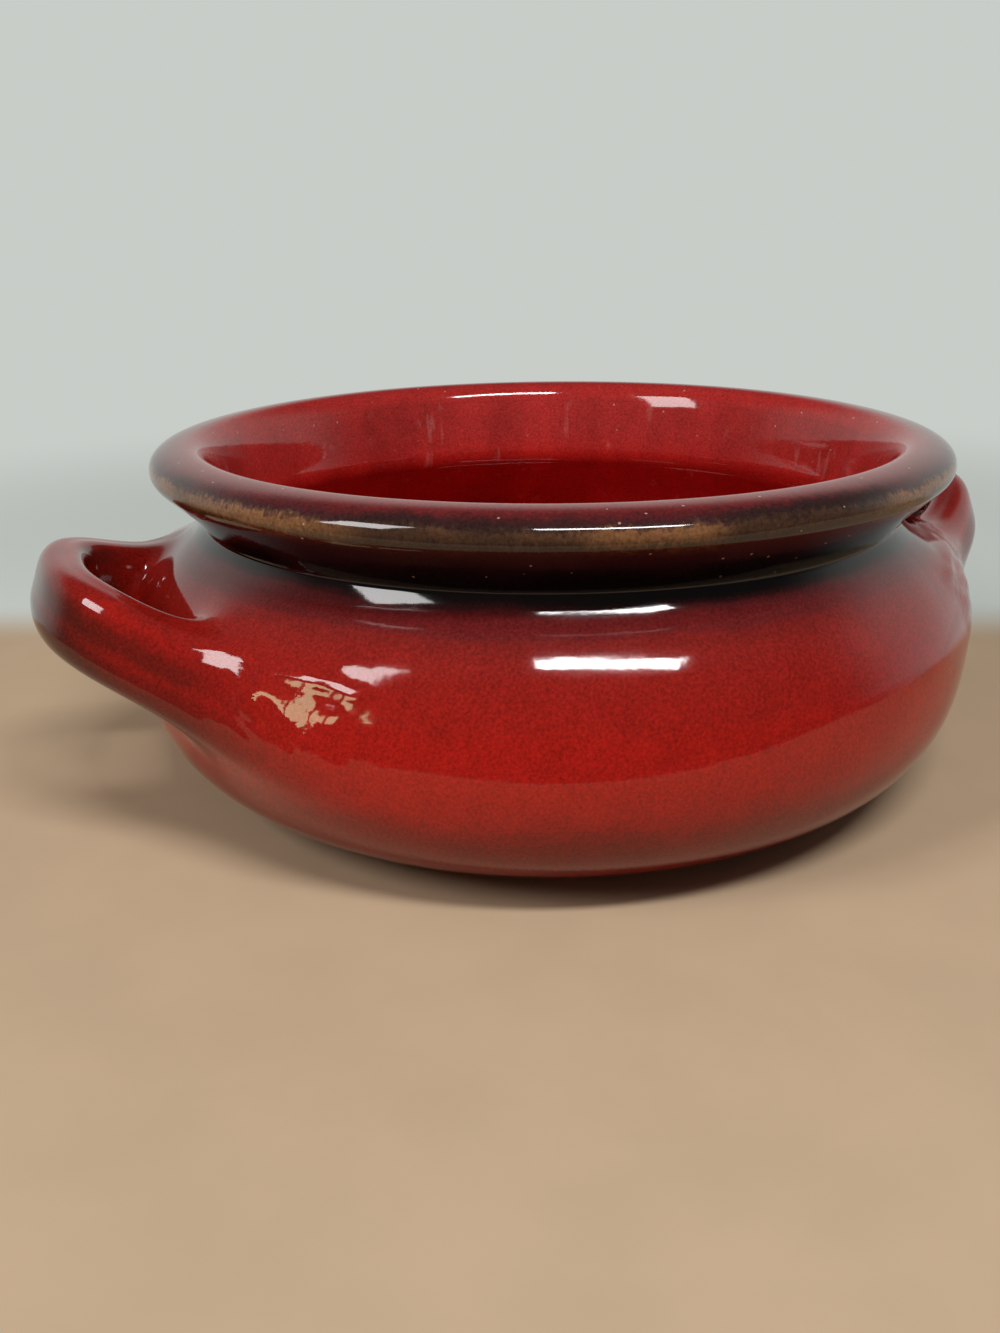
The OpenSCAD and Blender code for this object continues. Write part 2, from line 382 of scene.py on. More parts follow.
# two distances joined with a soft fillet: the lesser one, less a cube of how close they are
def softUnion(a, b, width):
    near = np.maximum(width - np.abs(a - b), 0) / width
    return np.minimum(a, b) - near ** 3 * width / 6


# the pot and one strap as one shape, with the smear over the root; the places along both are found once
def joinedShape(points, side):
    path = paths[side]
    strapGuess = nearestPlace(points, path["middle"], path["along"], path["step"])
    potGuess = nearestPlace(flattened(points), outsideLine, outsideAlong, outsideStep)

    def both(p):
        return potDistance(p, potGuess), strapDistance(p, path, strapGuess)

    def field(p):
        return softUnion(*both(p), handle["blend"]) - smearHeight(p, side)

    return both, field


# height along the normals at which the joined shape has its surface, by halving
def surfaceHeight(points, normals, field):
    low, high = np.full(len(points), -1.0), np.full(len(points), handle["blend"] / 6 + 1)
    for _ in range(16):
        middle = (low + high) / 2
        inside = field(points + middle[:, None] * normals) < 0
        low, high = np.where(inside, middle, low), np.where(inside, high, middle)
    return (low + high) / 2


# moves a surface on to the joined shape; past the seam, where the other shape is nearer, it dives under it
def joinSurface(points, normals, side, own):
    both, field = joinedShape(points, side)
    height = surfaceHeight(points, normals, field)
    distances = both(points + height[:, None] * normals)
    past = distances[own] - distances[1 - own]
    kept = 1 - smoothStep(past, *handle["fadeSpan"])
    height = height * kept - handle["dive"] * smoothStep(past, 0, handle["diveSpan"])
    moved = points + height[:, None] * normals
    step = 0.05 * np.eye(3)
    slope = np.stack([field(moved + s) - field(moved - s) for s in step], -1)
    return moved, unit(slope)


# the outline spun round: rows along it, columns round the pot, closer together near the handles
def spunGrid(start, end, rows, columns, startWave=None):
    t = np.linspace(0, 2 * np.pi, columns, endpoint=False)
    turn = t - 0.3 * np.sin(2 * t)
    first = start + (startWave(turn) if startWave else np.zeros(columns))
    share = np.linspace(0, 1, rows)[:, None]
    place = ((first + (end - first) * share) / lineStep).ravel()
    flat, out = between(clayLine, place), between(lineOut, place)
    cosine, sine = np.tile(np.cos(turn), rows), np.tile(np.sin(turn), rows)
    clay = np.stack([flat[:, 0] * cosine, flat[:, 0] * sine, flat[:, 1]], -1)
    normals = np.stack([out[:, 0] * cosine, out[:, 0] * sine, out[:, 1]], -1)
    return clay.reshape(rows, columns, 3), normals.reshape(rows, columns, 3)


# joins a coat of the pot to both straps
def withHandles(points, normals, shading):
    flat, flatNormals, flatShading = (a.reshape(-1, 3).copy() for a in (points, normals, shading))
    for side, sign in turns.items():
        flip = np.array([sign, sign, 1.0])
        own = flat * flip
        angle = np.degrees(np.abs(np.arctan2(own[:, 1], own[:, 0])))
        beside = (own[:, 2] > handle["zoneLow"]) & (own[:, 2] < handle["zoneHigh"])
        near = np.where((angle < handle["pathEnd"]) & beside)[0]
        moved, slope = joinSurface(own[near], flatNormals[near] * flip, side, 0)
        flat[near], flatShading[near] = moved * flip, slope * flip
    return flat.reshape(points.shape), flatShading.reshape(points.shape)


glazeInner = 0.03  # the coat's back lies this far off the clay


# a coat of the pot: the spun outline raised by the coat's thickness and the waves of throwing
def potCoat(name, start, end, rows, columns, startWave=None, handles=False, thin=None, pole=False):
    clay, normals = spunGrid(start, end, rows, columns, startWave)
    coat = np.full(rows, pot["coat"]) if thin is None else thin(rows)
    outer = clay + normals * coat[:, None, None]
    wavy = outer + throwingHeight(outer.reshape(-1, 3)).reshape(rows, columns, 1) * normals
    shading = gridNormals(wavy)
    if handles:
        joined, joinedShading = withHandles(outer, normals, shading)
        beside = (coat >= pot["coat"] - 1e-6)[:, None, None]
        changed = beside & (np.linalg.norm(joined - outer, axis=-1, keepdims=True) > 0)
        wavy, shading = np.where(changed, joined, wavy), np.where(changed, joinedShading, shading)
    outer = wavy
    inner = clay + normals * glazeInner
    if not pole:
        return coatMesh(name, outer, shading, inner)
    outer[-1, :, :2] = inner[-1, :, :2] = 0
    shading[-1] = (0, 0, 1)
    return coatMesh(name, outer, shading, inner, poleRows=(rows - 1, rows))


zones = {
    "foot": outsideAt(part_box("belly_glaze")[0].z / mm),
    "darkEdge": outsideAt(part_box("neck_glaze")[0].z / mm),
    "bandLow": rimAt(-45),
    "crownEdge": rimAt(45),
    "floorMiddle": lineLength[-1],
}


# the lower edge of the glaze wanders and ends in a rounded bead
def footWave(turn):
    return 0.9 * np.sin(3 * turn + 1) + 0.6 * np.sin(7 * turn + 2.5) + 0.35 * np.sin(13 * turn)


def footBead(rows):
    share = np.clip(np.arange(rows) / 2.0, 0, 1)
    return glazeInner + (pot["coat"] - glazeInner) * np.sqrt(1 - (1 - share) ** 2)


bellyGlaze = potCoat("belly_glaze_coat", zones["foot"], zones["darkEdge"], 110, 560, footWave, True, footBead)
neckGlaze = potCoat("neck_glaze_coat", zones["darkEdge"], zones["bandLow"], 56, 400, handles=True)
rimGlaze = potCoat("rim_glaze_coat", zones["bandLow"], zones["crownEdge"], 30, 400)
innerGlaze = potCoat("inner_glaze_coat", zones["crownEdge"], zones["floorMiddle"], 200, 320, pole=True)
print("pot coats made")


# the bare clay under the coats, closed at the middle of the base and of the floor
def clayPot(name, rows=240, columns=240):
    clay = spunGrid(0, lineLength[-1], rows, columns)[0]
    shading = gridNormals(clay)
    clay[0, :, :2] = clay[-1, :, :2] = 0
    shading[0], shading[-1] = (0, 0, -1), (0, 0, 1)
    return surfaceMesh(name, clay, shading, poleRows=(0, rows - 1))


clayBody = clayPot("clay_body_pot")


# a strap: squared ovals along its path at even steps, joined to the pot, as a coat of glaze and the clay
# in it, which is drawn to a point at each buried end
def strapPieces(side, rows=300, columns=88):
    path = paths[side]
    angle = np.linspace(-handle["shownEnd"], handle["shownEnd"], rows)
    place = (angle + handle["pathEnd"]) / (2 * handle["pathEnd"]) * (len(path["angle"]) - 1)
    middle, across, up = (between(path[k], place)[:, None] for k in ("middle", "across", "up"))
    halfThick, halfWide = handle["thick"] / 2, handle["wide"] / 2
    fine = squaredOval(-np.linspace(0, 2 * np.pi, 4001), halfThick, halfWide, handle["squareness"])
    length = np.append(0, np.cumsum(np.linalg.norm(np.diff(fine, axis=0), axis=1)))
    even = np.linspace(0, length[-1], columns, endpoint=False)
    oval = np.stack([np.interp(even, length, fine[:, k]) for k in range(2)], -1)
    points = (middle + oval[None, :, :1] * across + oval[None, :, 1:] * up).reshape(-1, 3)
    normals = gridNormals(points.reshape(rows, columns, 3)).reshape(-1, 3)
    outer, shading = joinSurface(points, normals, side, 1)
    guess = nearestPlace(flattened(outer), outsideLine, outsideAlong, outsideStep)
    out = between(outsideOut, guess)
    turn = np.arctan2(outer[:, 1], outer[:, 0])
    potOut = np.stack([out[:, 0] * np.cos(turn), out[:, 0] * np.sin(turn), out[:, 1]], -1)
    outer = outer + np.maximum(handle["deepest"] - potDistance(outer, guess), 0)[:, None] * potOut
    flip = np.array([turns[side], turns[side], 1.0])
    outer, shading = ((a * flip).reshape(rows, columns, 3) for a in (outer, shading))
    inward = -gridNormals(outer)
    coat = coatMesh(side + "_handle_glaze_coat", outer, shading, outer + inward * (pot["coat"] - glazeInner))
    clay = outer + inward * (pot["coat"] + handle["coreGap"])
    ends = [np.repeat(clay[[row]].mean(1, keepdims=True), columns, 1) for row in (0, -1)]
    clay = np.concatenate([ends[0], clay, ends[1]])
    clayNormals = -np.concatenate([inward[:1], inward, inward[-1:]])
    core = surfaceMesh(side + "_handle_clay", clay, clayNormals, poleRows=(0, rows + 1))
    return coat, core


straps = {side: strapPieces(side) for side in turns}
strapCoats = {side: pieces[0] for side, pieces in straps.items()}
print("straps made")


# node helpers: a node with its sockets set or linked, sums, soft steps, colour blends and ramps
def put(tree, kind, sockets=None, **settings):
    made = tree.nodes.new("ShaderNode" + kind)
    for name, value in settings.items():
        setattr(made, name, value)
    for name, value in (sockets or {}).items():
        socket = made.inputs[name]
        if isinstance(value, bpy.types.NodeSocket):
            tree.links.new(value, socket)
        else:
            socket.default_value = value
    return made


def sums(tree, operation, *values):
    return put(tree, "Math", dict(enumerate(values)), operation=operation).outputs[0]


def softRange(tree, value, low, high, start=0.0, end=1.0):
    sockets = {0: value, 1: low, 2: high, 3: start, 4: end}
    return put(tree, "MapRange", sockets, interpolation_type="SMOOTHSTEP").outputs[0]


def blendColour(tree, factor, first, second, kind="MIX"):
    sockets = {0: factor, 6: first, 7: second}
    return put(tree, "Mix", sockets, data_type="RGBA", blend_type=kind).outputs[2]


def noise(tree, vector, scale, detail=3.0, rough=0.5):
    sockets = {"Vector": vector, "Scale": scale, "Detail": detail, "Roughness": rough}
    return put(tree, "TexNoise", sockets).outputs[0]


def colourRamp(tree, factor, stops):
    made = put(tree, "ValToRGB", {0: factor})
    ramp = made.color_ramp
    ramp.interpolation = "EASE"
    while len(ramp.elements) < len(stops):
        ramp.elements.new(0.5)
    for element, (position, colour) in zip(ramp.elements, stops):
        element.position = position
        element.color = (*colour, 1)
    return made.outputs[0]


def stretched(tree, vector, scale):
    return put(tree, "Mapping", {"Vector": vector, "Scale": scale}).outputs[0]


def grey(tree, value):
    return put(tree, "CombineXYZ", {0: value, 1: value, 2: value}).outputs[0]


# where a point lies on the pot, from Object coordinates in metres
def potPlace(tree):
    coords = put(tree, "TexCoord").outputs["Object"]
    parts = put(tree, "SeparateXYZ", {0: coords}).outputs
    flat = put(tree, "CombineXYZ", {0: parts[0], 1: parts[1]}).outputs[0]
    radius = put(tree, "VectorMath", {0: flat}, operation="LENGTH").outputs["Value"]
    return {"coords": coords, "radius": radius, "height": parts[2]}


# colours of the glaze from the foot up over the shoulder into the neck, by shoulder height in millimetres;
# the darkening over the lowest 12 millimetres towards the foot is painted shade
shoulderStopsWithFootShade = [
    (0, (0.16, 0.011, 0.006)), (4, (0.19, 0.011, 0.006)), (6, (0.215, 0.011, 0.006)),
    (7.5, (0.25, 0.0105, 0.006)), (9.5, (0.32, 0.010, 0.0055)), (12, (0.36, 0.0095, 0.005)),
    (17, (0.38, 0.0095, 0.005)), (24, (0.35, 0.0095, 0.005)), (30, (0.295, 0.010, 0.006)),
    (38, (0.27, 0.011, 0.007)), (43, (0.25, 0.013, 0.009)), (47.5, (0.20, 0.013, 0.010)),
    (50.5, (0.145, 0.013, 0.012)), (54, (0.125, 0.012, 0.012)), (56, (0.10, 0.010, 0.010)),
    (57.5, (0.04, 0.005, 0.005)), (59, (0.010, 0.003, 0.003)), (61, (0.005, 0.002, 0.002)),
    (66, (0.004, 0.0018, 0.0018)),
]
# colours round the rim by angle about its middle, from under it over the outer face and crown to the mouth
rimStops = [
    (-90, (0.004, 0.0018, 0.0018)), (-34, (0.006, 0.0035, 0.003)), (-24, (0.020, 0.010, 0.006)),
    (-14, (0.060, 0.026, 0.010)), (-5, (0.13, 0.055, 0.020)), (3, (0.215, 0.096, 0.038)),
    (9, (0.225, 0.10, 0.044)), (14, (0.10, 0.042, 0.025)), (19, (0.052, 0.017, 0.017)),
    (25, (0.07, 0.013, 0.015)), (33, (0.10, 0.012, 0.013)), (48, (0.15, 0.014, 0.014)),
    (65, (0.19, 0.016, 0.016)), (90, (0.26, 0.018, 0.016)), (115, (0.36, 0.021, 0.018)),
    (140, (0.42, 0.024, 0.020)), (180, (0.44, 0.026, 0.022)),
]
# where one finish, painted reflection or painted shade meets the next, in metres up the pot, or out from its
# middle for the straps
edges = {
    "rim": (0.066, 0.0675),
    "crown": (0.072, 0.0755),
    "mouthReflection": (0.055, 0.066),
    "runs": (0.030, 0.045),
    "pinholes": (0.058, 0.070),
    "gloss": (0.008, 0.026),
    "strap": (0.0955, 0.102),
    "strapTip": (0.107, 0.1155),
}


def shoulderColour(tree, place):
    cloud = noise(tree, place["coords"], 45, 3)
    lean = sums(tree, "MULTIPLY_ADD", place["radius"], -0.9, 0.9 * 0.08)
    level = sums(tree, "ADD", place["height"], lean)
    level = sums(tree, "MINIMUM", level, sums(tree, "MULTIPLY", place["height"], 1.05))
    level = sums(tree, "ADD", level, sums(tree, "MULTIPLY_ADD", cloud, 0.006, -0.003))
    top = shoulderStopsWithFootShade[-1][0]
    factor = sums(tree, "DIVIDE", level, top * mm)
    return colourRamp(tree, factor, [(level / top, colour) for level, colour in shoulderStopsWithFootShade])


def rimColour(tree, place):
    out = sums(tree, "SUBTRACT", place["radius"], rimMiddle[0] * mm)
    up = sums(tree, "SUBTRACT", place["height"], rimMiddle[1] * mm)
    angle = sums(tree, "ARCTAN2", up, out)
    ragged = noise(tree, stretched(tree, place["coords"], (1, 1, 2.5)), 110, 5, 0.65)
    angle = sums(tree, "ADD", angle, sums(tree, "MULTIPLY_ADD", ragged, 0.5, -0.25))
    specks = noise(tree, stretched(tree, place["coords"], (1, 1, 0.5)), 900, 2, 0.6)
    angle = sums(tree, "ADD", angle, sums(tree, "MULTIPLY_ADD", specks, 0.44, -0.22))
    first, last = rimStops[0][0], rimStops[-1][0]
    factor = put(tree, "MapRange", {0: angle, 1: np.radians(first), 2: np.radians(last)}).outputs[0]
    stops = [((degrees - first) / (last - first), colour) for degrees, colour in rimStops]
    band = colourRamp(tree, factor, stops)
    patches = softRange(tree, noise(tree, place["coords"], 22, 2), 0.50, 0.62)
    outer = softRange(tree, angle, np.radians(42), np.radians(24))
    return blendColour(tree, sums(tree, "MULTIPLY", patches, sums(tree, "MULTIPLY", outer, 0.8)), band,
                       (0.022, 0.011, 0.009, 1))


# red inside the pot, with broad upright shades; towards the mouth a painted reflection of the room lifts its
# green and blue, and a few fine pale streaks are painted reflections
def insideColour(tree, place):
    shades = noise(tree, stretched(tree, place["coords"], (1, 1, 0.12)), 70, 3, 0.5)
    deep = colourRamp(tree, shades, [(0.3, (0.36, 0.010, 0.008)), (0.7, (0.47, 0.014, 0.010))])
    # the mouth's copy has more green and blue: a painted reflection of the room
    high = colourRamp(tree, shades, [(0.3, (0.36, 0.024, 0.020)), (0.7, (0.47, 0.030, 0.026))])
    red = blendColour(tree, softRange(tree, place["height"], *edges["mouthReflection"]), deep, high)
    # pale upright streaks on the wall: painted reflections
    runs = noise(tree, stretched(tree, place["coords"], (1, 1, 0.1)), 330, 2, 0.5)
    where = sums(tree, "MULTIPLY", softRange(tree, noise(tree, place["coords"], 60, 2), 0.5, 0.62),
                 softRange(tree, place["height"], *edges["runs"]))
    pale = sums(tree, "MULTIPLY", softRange(tree, runs, 0.58, 0.72, 0.0, 0.22), where)
    return blendColour(tree, pale, red, (0.62, 0.28, 0.25, 1))


# painted light and shade along the facets of a strap: lighter on its upper ridge and darker down its lower
# facets, by height off its middle line, which follows the bell
strapLightAndShadeStops = [
    (-1.1, 0.40), (-0.35, 0.40), (0.0, 0.48), (0.22, 0.66), (0.42, 0.44), (0.62, 0.5), (0.8, 0.85),
    (0.95, 1.1), (1.15, 0.9),
]


def strapShade(tree, place):
    x, y, z = put(tree, "SeparateXYZ", {0: place["coords"]}).outputs
    angle = sums(tree, "ARCTAN2", sums(tree, "ABSOLUTE", y), sums(tree, "ABSOLUTE", x))
    share = sums(tree, "MULTIPLY", angle, float(np.degrees(1)) / handle["half"])
    bell = sums(tree, "DIVIDE", 1.0, sums(tree, "ADD", 1.0, sums(tree, "POWER", share, handle["loopPower"])))
    middle = sums(tree, "MULTIPLY_ADD", bell, (handle["tipHeight"] - handle["rootHeight"]) * mm,
                  handle["rootHeight"] * mm)
    off = sums(tree, "DIVIDE", sums(tree, "SUBTRACT", z, middle), handle["wide"] / 2 * mm)
    ragged = noise(tree, place["coords"], 110, 3, 0.6)
    off = sums(tree, "ADD", off, sums(tree, "MULTIPLY_ADD", ragged, 0.5, -0.25))
    strapLightAndShade = colourRamp(tree, sums(tree, "MULTIPLY_ADD", off, 0.4, 0.5),
                       [(0.4 * v + 0.5, (shade, 1, 1)) for v, shade in strapLightAndShadeStops])
    # painted shade: the outermost tip of each strap is made greyer by halving its red
    outermost = softRange(tree, place["radius"], *edges["strapTip"], 1.0, 0.5)
    paintedTipShade = put(tree, "CombineXYZ", {0: outermost, 1: 1, 2: 1}).outputs[0]
    strapLightAndShade = blendColour(tree, 1.0, strapLightAndShade, paintedTipShade, "MULTIPLY")
    return softRange(tree, place["radius"], *edges["strap"]), strapLightAndShade


def outsideColour(tree, place):
    onRim = softRange(tree, place["height"], *edges["rim"])
    colour = blendColour(tree, onRim, shoulderColour(tree, place), rimColour(tree, place))
    # the straps' painted light and shade multiply their glaze colour
    onStrap, strapLightAndShade = strapShade(tree, place)
    return blendColour(tree, onStrap, colour, strapLightAndShade, "MULTIPLY")


# the crown's colours run into the red of the mouth
def mouthColour(tree, place):
    onCrown = softRange(tree, place["height"], *edges["crown"])
    return blendColour(tree, onCrown, insideColour(tree, place), rimColour(tree, place))


# one glaze over the whole pot, so that neighbouring coats meet without a seam
glaze = {
    "grainScale": 1700,
    "grain": (1.4, 0.3),
    "mottleScale": 160,
    "mottle": (0.4, -0.2),
    "pinholeScale": 400,
    "pinholeSize": (0.13, 0.08),
    "pinholesOver": 0.8,
    "pinholeColour": (0.55, 0.33, 0.24, 1),
    "roughness": (0.08, 0.03),
    "gloss": (0.24, 0.5),
    "ior": 1.5,
    "bump": 0.12,
    "bumpHigh": 0.0004,
}


def glazeMaterial(name, colours):
    material = bpy.data.materials.new(name)
    material.use_nodes = True
    tree = material.node_tree
    shader = tree.nodes["Principled BSDF"]
    place = potPlace(tree)
    colour = colours(tree, place)
    grain = noise(tree, place["coords"], glaze["grainScale"], 2, 0.6)
    mottle = noise(tree, place["coords"], glaze["mottleScale"], 4, 0.6)
    depth = sums(tree, "ADD", sums(tree, "MULTIPLY_ADD", grain, *glaze["grain"]),
                 sums(tree, "MULTIPLY_ADD", mottle, *glaze["mottle"]))
    colour = blendColour(tree, 1.0, colour, grey(tree, depth), "MULTIPLY")
    cells = put(tree, "TexVoronoi", {"Vector": place["coords"], "Scale": glaze["pinholeScale"]})
    pick = put(tree, "SeparateXYZ", {0: cells.outputs["Color"]}).outputs[0]
    pinhole = sums(tree, "MULTIPLY", softRange(tree, cells.outputs["Distance"], *glaze["pinholeSize"]),
                   sums(tree, "GREATER_THAN", pick, glaze["pinholesOver"]))
    pinhole = sums(tree, "MULTIPLY", pinhole, softRange(tree, place["height"], *edges["pinholes"]))
    colour = blendColour(tree, sums(tree, "MULTIPLY", pinhole, 0.8), colour, glaze["pinholeColour"])
    tree.links.new(colour, shader.inputs["Base Color"])
    tree.links.new(sums(tree, "MULTIPLY_ADD", mottle, *glaze["roughness"]), shader.inputs["Roughness"])
    shader.inputs["IOR"].default_value = glaze["ior"]
    # thinner and duller towards the foot
    gloss = softRange(tree, place["height"], *edges["gloss"], *glaze["gloss"])
    tree.links.new(gloss, shader.inputs["Specular IOR Level"])
    rings = noise(tree, stretched(tree, place["coords"], (0.02, 0.02, 1)), 500, 2, 0.5)
    peel = noise(tree, place["coords"], 260, 2, 0.5)
    relief = sums(tree, "ADD", sums(tree, "MULTIPLY", rings, 0.35), sums(tree, "MULTIPLY", peel, 0.5))
    relief = sums(tree, "SUBTRACT", relief, pinhole)
    bump = put(tree, "Bump", {"Strength": glaze["bump"], "Distance": glaze["bumpHigh"], "Height": relief})
    tree.links.new(bump.outputs[0], shader.inputs["Normal"])
    return material


# bare fired clay: clouds of lighter and darker terracotta, sand, and fine rings left by turning
def clayMaterial(name):
    material = bpy.data.materials.new(name)
    material.use_nodes = True
    tree = material.node_tree
    shader = tree.nodes["Principled BSDF"]
    place = potPlace(tree)
    cloud = noise(tree, place["coords"], 60, 5, 0.6)
    sand = noise(tree, place["coords"], 1400, 3, 0.7)
    colour = colourRamp(tree, cloud, [(0.25, (0.33, 0.115, 0.05)), (0.55, (0.45, 0.17, 0.08)),
                                      (0.8, (0.53, 0.23, 0.12))])
    grit = sums(tree, "MULTIPLY_ADD", sand, 0.6, 0.7)
    colour = blendColour(tree, 1.0, colour, grey(tree, grit), "MULTIPLY")
    tree.links.new(colour, shader.inputs["Base Color"])
    tree.links.new(sums(tree, "MULTIPLY_ADD", cloud, 0.2, 0.7), shader.inputs["Roughness"])
    turning = sums(tree, "SINE", sums(tree, "MULTIPLY", place["radius"], 2600.0))
    relief = sums(tree, "ADD", sums(tree, "MULTIPLY", turning, 0.25), sand)
    bump = put(tree, "Bump", {"Strength": 0.5, "Distance": 0.0004, "Height": relief})
    tree.links.new(bump.outputs[0], shader.inputs["Normal"])
    return material


terracotta = clayMaterial("bare_terracotta")
finishes = {
    bellyGlaze: ("red_belly_glaze", outsideColour, "belly_glaze", "belly_glaze"),
    neckGlaze: ("dark_neck_glaze", outsideColour, "neck_glaze", "neck_glaze"),
    rimGlaze: ("ochre_rim_glaze", outsideColour, "rim_glaze", "rim_glaze"),
    innerGlaze: ("red_inner_glaze", mouthColour, "inner_glaze", "inner_glaze"),
    strapCoats["left"]: ("left_strap_glaze", outsideColour, "belly_glaze", "left_handle_glaze"),
    strapCoats["right"]: ("right_strap_glaze", outsideColour, "belly_glaze", "right_handle_glaze"),
}
for piece, (materialName, colours, slot, node) in finishes.items():
    piece.data.materials.append(glazeMaterial(materialName, colours))
    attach(piece, "root")
    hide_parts(node)
clayBody.data.materials.append(terracotta)
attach(clayBody, "root")
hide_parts("clay_body")
for side, (_, core) in straps.items():
    core.data.materials.append(terracotta)
    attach(core, "root")
    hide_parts(side + "_handle")
print("glazes and clay painted")

# camera of the photograph: stands at an angle round the pot, then pans, tilts and rolls
view = {
    "azimuth": -25.9,
    "distance": 280.6,
    "height": 122.1,
    "pan": -2.424,
    "tilt": 20.363,
    "roll": -0.808,
    "lens": 32.4,
}
turn = np.radians(view["azimuth"])
aroundPot = np.array([[np.cos(turn), -np.sin(turn), 0], [np.sin(turn), np.cos(turn), 0], [0, 0, 1]])


def cameraMatrix():
    pan, tilt, roll = (np.radians(view[k]) for k in ("pan", "tilt", "roll"))
    right = np.array([np.cos(pan), -np.sin(pan), 0])
    up = np.array([np.sin(tilt) * np.sin(pan), np.sin(tilt) * np.cos(pan), np.cos(tilt)])
    back = -np.array([np.cos(tilt) * np.sin(pan), np.cos(tilt) * np.cos(pan), -np.sin(tilt)])
    rolledRight = np.cos(roll) * right + np.sin(roll) * up
    rolledUp = -np.sin(roll) * right + np.cos(roll) * up
    place = np.array([0, -view["distance"], view["height"]]) * mm
    matrix = np.eye(4)
    matrix[:3] = aroundPot @ np.stack([rolledRight, rolledUp, back, place], -1)
    return Matrix(matrix.tolist())


cameraData = bpy.data.cameras.new("camera")
cameraData.sensor_width = 36
cameraData.lens = view["lens"]
cameraData.clip_start = 0.01
camera = bpy.data.objects.new("camera", cameraData)
camera.matrix_world = cameraMatrix()
bpy.context.scene.collection.objects.link(camera)
bpy.context.scene.camera = camera

# lamps by where they stand and aim, in millimetres to the right, away and up as the camera looks
lamps = {
    "ceiling_softbox": {
        "place": (274, -600, 1000), "aim": (274, -600, 0), "up": (-0.08, 1, 0),
        "size": (0.64, 0.134), "radiance": 38, "colour": (1, 1, 1),
    },
    "left_window": {
        "place": (-851, -618, 814), "aim": (0, 0, 50), "up": (0, 0, 1),
        "size": (0.40, 0.48), "radiance": 11, "colour": (1, 0.99, 0.98),
    },
    "warm_card_near": {
        "place": (-873, -936, 276), "aim": (0, 0, 50), "up": (0, 0, 1),
        "size": (0.30, 0.18), "radiance": 6.5, "colour": (0.9, 1, 0.6), "bellyOnly": True,
    },
    "warm_card_far": {
        "place": (-1097, -659, 276), "aim": (0, 0, 50), "up": (0, 0, 1),
        "size": (0.28, 0.18), "radiance": 6.5, "colour": (0.9, 1, 0.6), "bellyOnly": True,
    },
}
bellyAlone = bpy.data.collections.new("belly_alone")
bellyAlone.objects.link(bellyGlaze)


# a rectangle of light that faces its aim; its watts are pi times its area times its radiance
def makeLamp(name, lamp):
    data = bpy.data.lights.new(name, "AREA")
    data.shape = "RECTANGLE"
    data.size, data.size_y = lamp["size"]
    data.energy = np.pi * data.size * data.size_y * lamp["radiance"]
    data.color = lamp["colour"]
    place, aim = np.array(lamp["place"]) * mm, np.array(lamp["aim"]) * mm
    back = unit(place - aim)
    side = unit(np.cross(lamp["up"], back))
    matrix = np.eye(4)
    matrix[:3] = aroundPot @ np.stack([side, np.cross(back, side), back, place], -1)
    made = bpy.data.objects.new(name, data)
    made.matrix_world = Matrix(matrix.tolist())
    if lamp.get("bellyOnly"):
        made.light_linking.receiver_collection = bellyAlone
    bpy.context.scene.collection.objects.link(made)


for name, lamp in lamps.items():
    makeLamp(name, lamp)

# backdrop: pale all round to the eye, while the glaze mirrors a room that is dim before the pot and above it;
# the world and the floor round the board share it
backdrop = {"front": (0.07, 0.07, 0.072), "behind": (0.58, 0.61, 0.58)}


# how far a direction or place lies along another one
def measured(tree, vector, along):
    return put(tree, "VectorMath", {0: vector, 1: along}, operation="DOT_PRODUCT").outputs["Value"]


def backdropColour(tree, direction):
    away = measured(tree, direction, aroundPot[:, 1])
    upward = put(tree, "SeparateXYZ", {0: direction}).outputs[2]
    pale = sums(tree, "MULTIPLY", softRange(tree, away, -0.35, 0.45), softRange(tree, upward, 0.8, 0.3))
    room = colourRamp(tree, pale, [(0, backdrop["front"]), (1, backdrop["behind"])])
    rays = put(tree, "LightPath").outputs
    seen = sums(tree, "MAXIMUM", rays["Is Camera Ray"], rays["Is Transmission Ray"])
    return blendColour(tree, seen, room, (*backdrop["behind"], 1))


world = bpy.data.worlds.new("studio")
bpy.context.scene.world = world
world.use_nodes = True
worldTree = world.node_tree
background = worldTree.nodes["Background"]
worldTree.links.new(backdropColour(worldTree, put(worldTree, "TexCoord").outputs["Generated"]),
                    background.inputs["Color"])
background.inputs["Strength"].default_value = 1.0

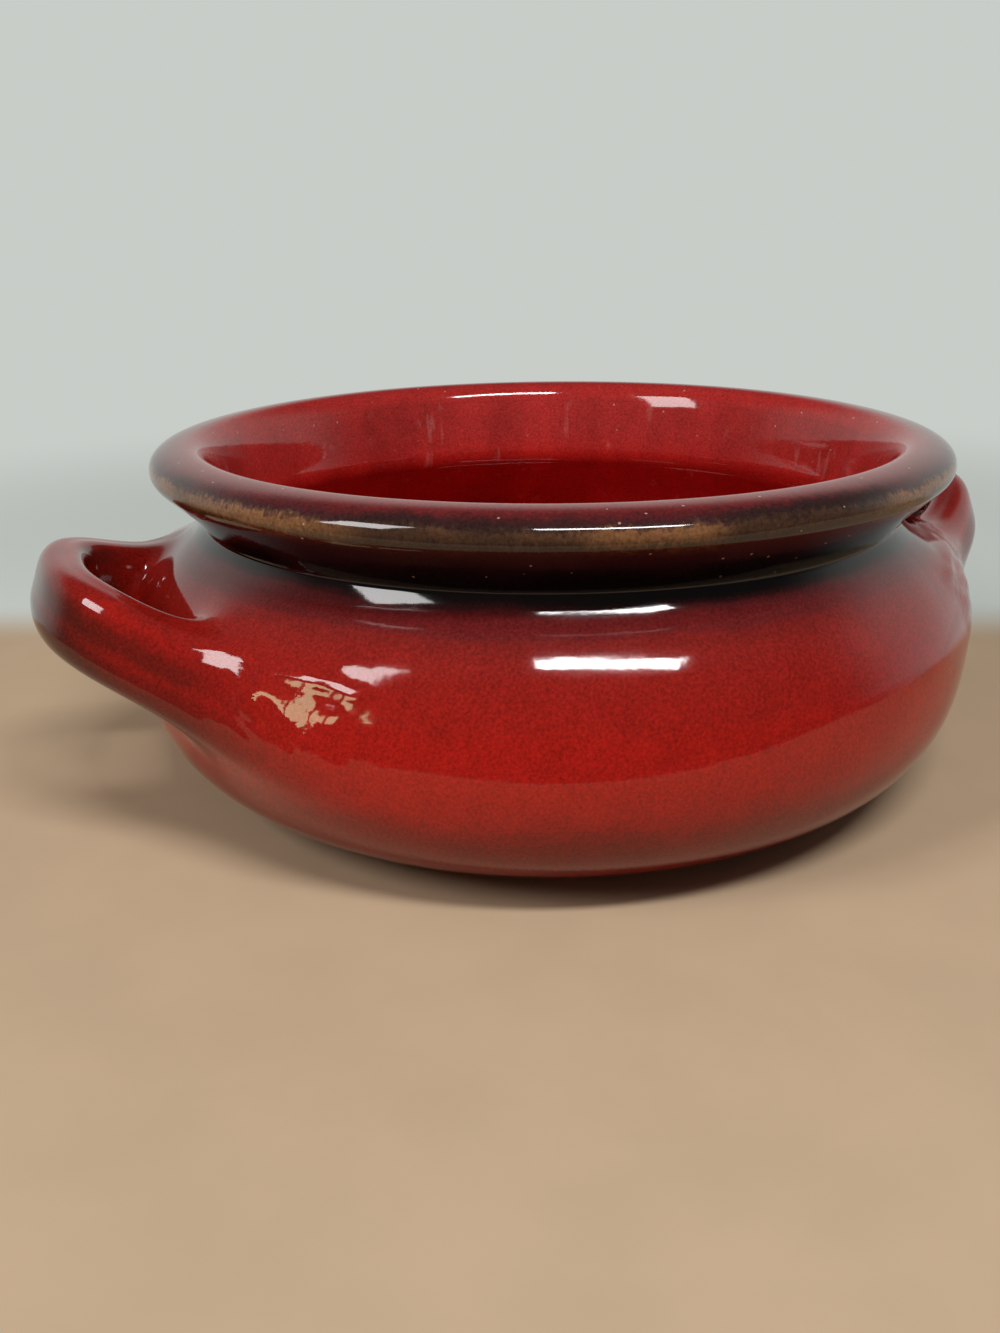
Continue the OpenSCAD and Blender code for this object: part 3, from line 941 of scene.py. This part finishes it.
# floor: a pale board under the pot, to its sides and before it, on a paler ground that ends softly in the
# backdrop; the board's edges are in metres from the pot's middle
stage = {
    "radius": 1500.0,
    "colour": (0.56, 0.41, 0.27),
    "behind": (0.07, 0.11),
    "before": (-0.24, -0.40),
    "mirroredBefore": (-0.165, -0.185),
    "beside": (0.34, 0.5),
    "ground": (0.70, 0.74, 0.70),
    "fade": (0.2, 0.55),
}
ring = np.array([0.0, 400.0, 900.0, stage["radius"]])
spin = np.linspace(0, 2 * np.pi, 96, endpoint=False)
floorGrid = np.stack([ring[::-1, None] * np.cos(spin), ring[::-1, None] * np.sin(spin),
                      np.zeros((len(ring), 96))], -1)
floorUp = np.zeros_like(floorGrid)
floorUp[..., 2] = 1
floor = surfaceMesh("floor", floorGrid, floorUp, poleRows=(len(ring) - 1,))


def floorMaterial(name):
    material = bpy.data.materials.new(name)
    material.use_nodes = True
    tree = material.node_tree
    shader = tree.nodes["Principled BSDF"]
    coords = put(tree, "TexCoord").outputs["Object"]
    away = measured(tree, coords, aroundPot[:, 1])
    aside = sums(tree, "ABSOLUTE", measured(tree, coords, aroundPot[:, 0]))
    rays = put(tree, "LightPath").outputs
    pastEdge = sums(tree, "MULTIPLY", softRange(tree, away, *stage["mirroredBefore"]), rays["Is Glossy Ray"])
    board = sums(tree, "MULTIPLY", softRange(tree, away, *stage["behind"][::-1]),
                 softRange(tree, away, *stage["before"][::-1]))
    board = sums(tree, "MULTIPLY", board, sums(tree, "SUBTRACT", 1.0, pastEdge))
    board = sums(tree, "MULTIPLY", board, softRange(tree, aside, *stage["beside"][::-1]))
    fibres = noise(tree, coords, 40, 3, 0.5)
    darkTan = tuple(0.95 * c for c in stage["colour"])
    tan = colourRamp(tree, fibres, [(0.3, darkTan), (0.7, stage["colour"])])
    outward = put(tree, "VectorMath", {0: coords}, operation="NORMALIZE").outputs[0]
    distance = put(tree, "VectorMath", {0: coords}, operation="LENGTH").outputs["Value"]
    far = sums(tree, "MAXIMUM", softRange(tree, distance, *stage["fade"]), pastEdge)
    black = (0, 0, 0, 1)
    ground = blendColour(tree, far, (*stage["ground"], 1), black)
    tree.links.new(blendColour(tree, board, ground, tan), shader.inputs["Base Color"])
    glow = blendColour(tree, far, black, backdropColour(tree, outward))
    tree.links.new(blendColour(tree, board, glow, black), shader.inputs["Emission Color"])
    shows = sums(tree, "MAXIMUM", rays["Is Camera Ray"], rays["Is Glossy Ray"])
    shows = sums(tree, "MAXIMUM", shows, rays["Is Transmission Ray"])
    tree.links.new(shows, shader.inputs["Emission Strength"])
    shader.inputs["Specular IOR Level"].default_value = 0.0
    shader.inputs["Roughness"].default_value = 0.9
    return material


floor.data.materials.append(floorMaterial("pale_board"))

bpy.context.scene.view_settings.view_transform = "Standard"
print("stage, camera and lamps set")
